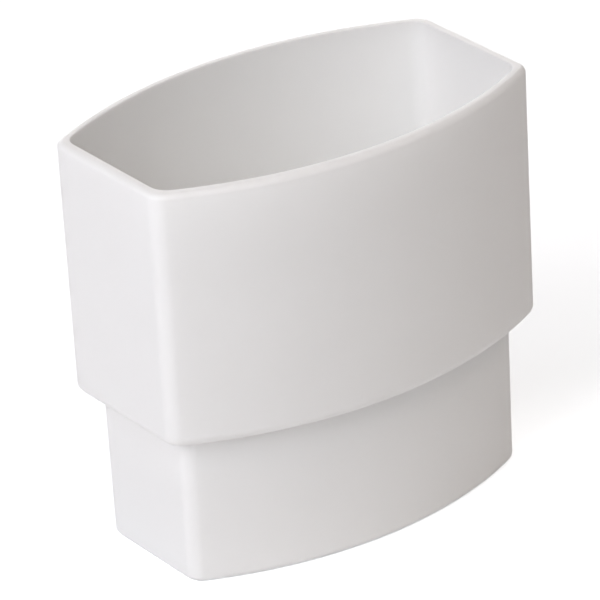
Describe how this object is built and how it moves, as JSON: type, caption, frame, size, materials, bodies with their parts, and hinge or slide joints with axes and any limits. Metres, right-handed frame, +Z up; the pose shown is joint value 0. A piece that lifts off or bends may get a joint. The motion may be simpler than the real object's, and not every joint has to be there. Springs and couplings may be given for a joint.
{
  "type": "downpipe coupler",
  "caption": "Moulded plastic coupler for barrel-section downpipe: an upper socket with a stop ledge inside, a rounded shoulder and a smaller spigot below.",
  "frame": {"origin": "middle of the spigot's lower end face, on the part's upright axis", "axes": "+X along the section's long side, +Y across the bowed sides, +Z up from the spigot's end to the socket's mouth"},
  "size_m": [0.0956, 0.0616, 0.092],
  "materials": {
    "white_pvc": "satin"
  },
  "bodies": {
    "root": {"coupler_body": "white_pvc"}
  },
  "joints": []
}
